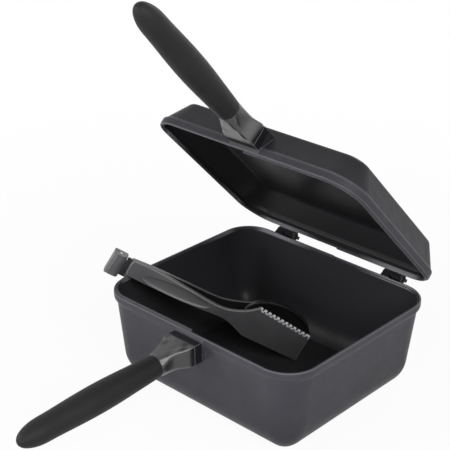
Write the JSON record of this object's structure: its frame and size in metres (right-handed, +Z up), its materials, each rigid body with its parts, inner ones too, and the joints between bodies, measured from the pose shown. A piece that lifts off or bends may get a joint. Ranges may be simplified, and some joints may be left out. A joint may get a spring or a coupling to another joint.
{
  "type": "double sided flip pan",
  "caption": "Deep base pan and shallow lid pan hinged at the back, each with a long front handle, shown open with nylon serving tongs resting inside.",
  "frame": {"origin": "middle of the base pan's flat bottom, which is the face that it stands on", "axes": "+X to the right along the front, -Y towards the handles, +Z up; the hinge axis lies along X at the back"},
  "size_m": [0.2166, 0.3609, 0.3444],
  "materials": {
    "pan_coating": "dark grey non-stick coating on cast aluminium, satin with a fine speckle",
    "bracket_metal": "dark grey satin lacquer on die-cast metal",
    "grip_moulding": "matte black heat resistant moulding",
    "nylon": "grey glass filled nylon, fine grained",
    "steel": "zinc plated steel",
    "dark_steel": "blackened steel"
  },
  "bodies": {
    "base": {"base_pan": "pan_coating", "base_handle_bracket": "bracket_metal", "base_bracket_bolt": "steel", "base_spring_washer": "steel", "base_grip": "grip_moulding", "base_grip_screw": "dark_steel"},
    "lid": {"lid_pan": "pan_coating", "lid_handle_bracket": "bracket_metal", "lid_bracket_bolt": "steel", "lid_spring_washer": "steel", "lid_grip": "grip_moulding", "lid_grip_screw": "dark_steel", "hinge_pin_left": "dark_steel", "hinge_pin_right": "dark_steel", "hinge_washer_left": "dark_steel", "hinge_washer_right": "dark_steel"},
    "tongs": {"tong_front_arm": "nylon", "tong_end_cap": "nylon", "tong_pivot_pin": "steel", "tong_spring": "steel"},
    "tongs_rear": {"tong_rear_arm": "nylon"}
  },
  "joints": [
    {"name": "lid_hinge", "type": "hinge", "parent": "base", "child": "lid", "pos_m": [0, 0.09765, 0.077], "axis": [-1, 0, 0], "range_deg": [-35.5, 54.5]},
    {"name": "tongs_lift", "type": "slide", "parent": "base", "child": "tongs", "axis": [-0.5613, -0.5143, 0.6484], "range_m": [0, 0.24]},
    {"name": "tongs_squeeze", "type": "hinge", "parent": "tongs", "child": "tongs_rear", "pos_m": [-0.1055, -0.07162, 0.09039], "axis": [-0.3625, -0.3322, -0.8708], "range_deg": [0, 6], "stiffness_Nm_per_rad": 0.3, "springref_deg": -17.19, "deforming": ["tong_spring"]}
  ]
}
